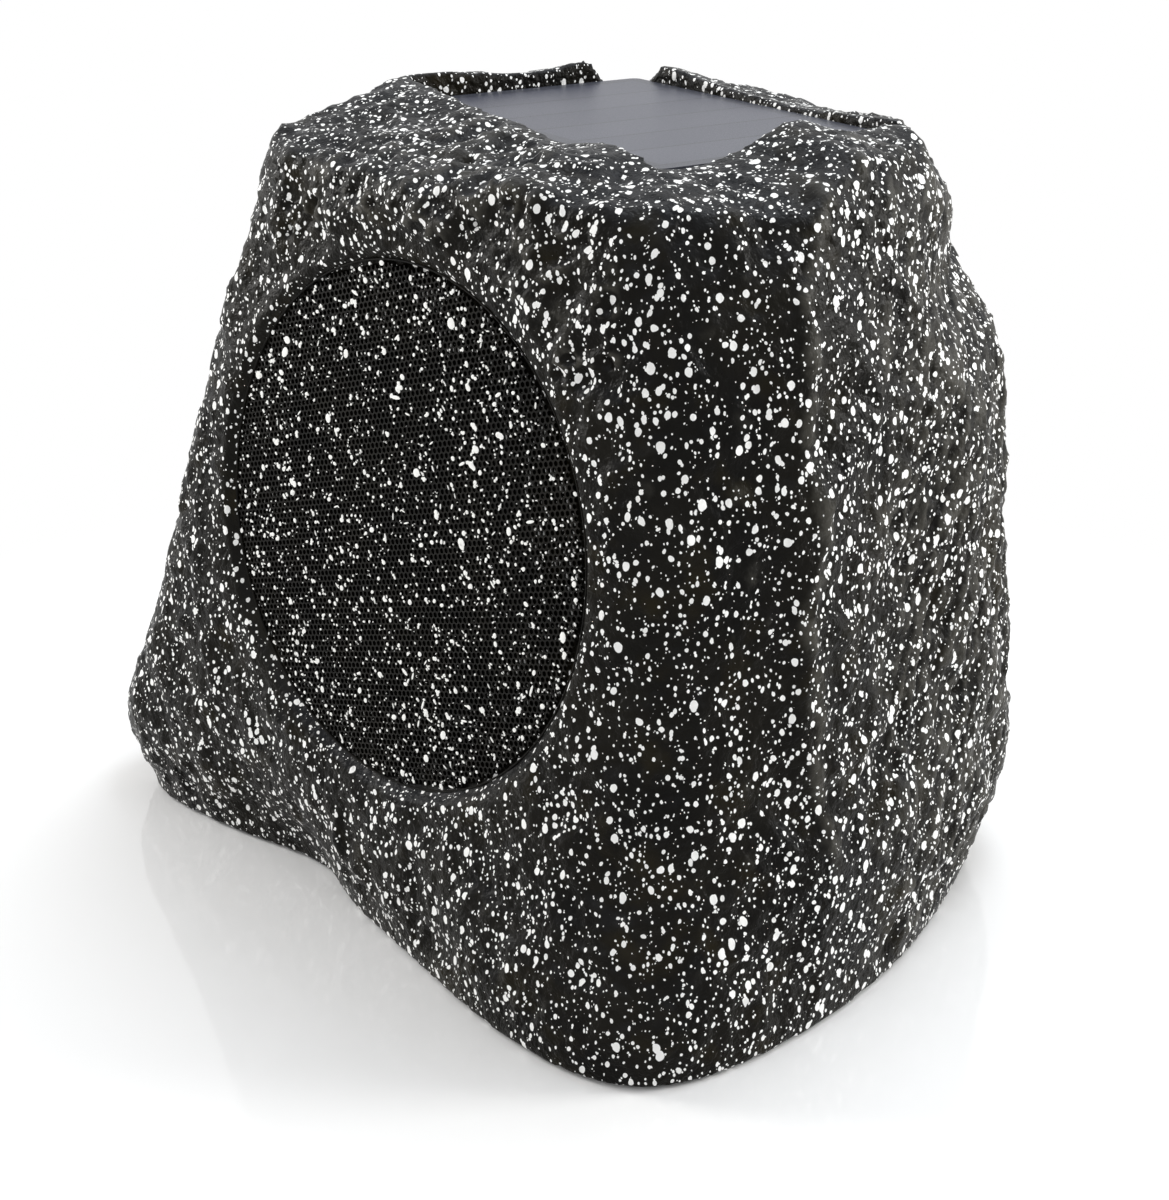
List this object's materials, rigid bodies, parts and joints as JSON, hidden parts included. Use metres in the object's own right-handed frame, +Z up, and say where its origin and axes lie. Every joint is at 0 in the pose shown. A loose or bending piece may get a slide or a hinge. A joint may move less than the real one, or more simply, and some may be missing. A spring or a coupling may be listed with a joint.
{
  "type": "rock shaped garden speaker",
  "caption": "Outdoor speaker moulded as a white-splattered dark boulder, with a round mesh grille on the front, a solar panel let into the top and a control plate on the back.",
  "frame": {"origin": "middle of the footprint's box, on the floor that the feet stand on", "axes": "+Z up, -Y is the front with the grille, +X is to the right when looking at the front"},
  "size_m": [0.2876, 0.2262, 0.2556],
  "materials": {
    "rock": "satin, white splatter",
    "grille_steel": "satin, white splatter",
    "panel_resin": "clear sheet over the cells",
    "cells": "dark silicon",
    "laminate": "glass laminate",
    "foam": "closed foam",
    "black_plastic": "fine texture",
    "rubber": "matt",
    "screw_steel": "zinc plated",
    "basket_steel": "black paint",
    "cone_paper": "coated paper",
    "former": "kraft paper",
    "copper": "enamelled wire",
    "spider_cloth": "resin-stiffened cloth",
    "motor_steel": "zinc plated",
    "ferrite": "ground ferrite",
    "tag_board": "pressed fibre",
    "lens": "frosted light pipe",
    "component": "moulded",
    "heat_sink": "extruded",
    "capacitor": "sleeved can",
    "battery": "sleeved cell"
  },
  "bodies": {
    "housing": {"rock_shell": "rock", "speaker_grille": "grille_steel", "solar_cover": "panel_resin", "solar_cells": "cells", "solar_board": "laminate", "control_board": "laminate", "amplifier_board": "laminate", "panel_tape": "foam", "base_seal": "foam", "speaker_gasket": "foam", "control_seal": "foam", "base_plate": "black_plastic", "control_plate": "black_plastic", "battery_holder": "black_plastic", "rubber_feet": "rubber", "surround": "rubber", "base_screws": "screw_steel", "speaker_screws": "screw_steel", "control_screws": "screw_steel", "control_board_screws": "screw_steel", "board_screws": "screw_steel", "cover_pin": "screw_steel", "speaker_basket": "basket_steel", "spider": "spider_cloth", "top_plate": "motor_steel", "pole_yoke": "motor_steel", "magnet": "ferrite", "terminal_strip": "tag_board", "led_lens": "lens", "tact_switches": "component", "status_led": "component", "charge_inlet": "component", "connectors": "component", "heat_sink": "heat_sink", "capacitors": "capacitor", "battery_cells": "battery"},
    "cone": {"speaker_cone": "cone_paper", "dust_cap": "cone_paper", "coil_former": "former", "voice_coil": "copper"},
    "power_button": {"power_button": "rubber"},
    "pair_button": {"pair_button": "rubber"},
    "inlet_cover": {"inlet_cover": "rubber"}
  },
  "joints": [
    {"name": "cone_travel", "type": "slide", "parent": "housing", "child": "cone", "axis": [0, -0.9936, 0.1132], "range_m": [-0.003, 0.003], "stiffness_N_per_m": 1800, "deforming": ["surround", "spider"]},
    {"name": "power_press", "type": "slide", "parent": "housing", "child": "power_button", "axis": [0, -0.9962, -0.0872], "range_m": [0, 0.0008], "stiffness_N_per_m": 300, "springref_m": -0.001},
    {"name": "pair_press", "type": "slide", "parent": "housing", "child": "pair_button", "axis": [0, -0.9962, -0.0872], "range_m": [0, 0.0008], "stiffness_N_per_m": 300, "springref_m": -0.001},
    {"name": "cover_hinge", "type": "hinge", "parent": "housing", "child": "inlet_cover", "pos_m": [-0.012, 0.10445, 0.08277], "axis": [1, 0, 0], "range_deg": [0, 95]}
  ]
}
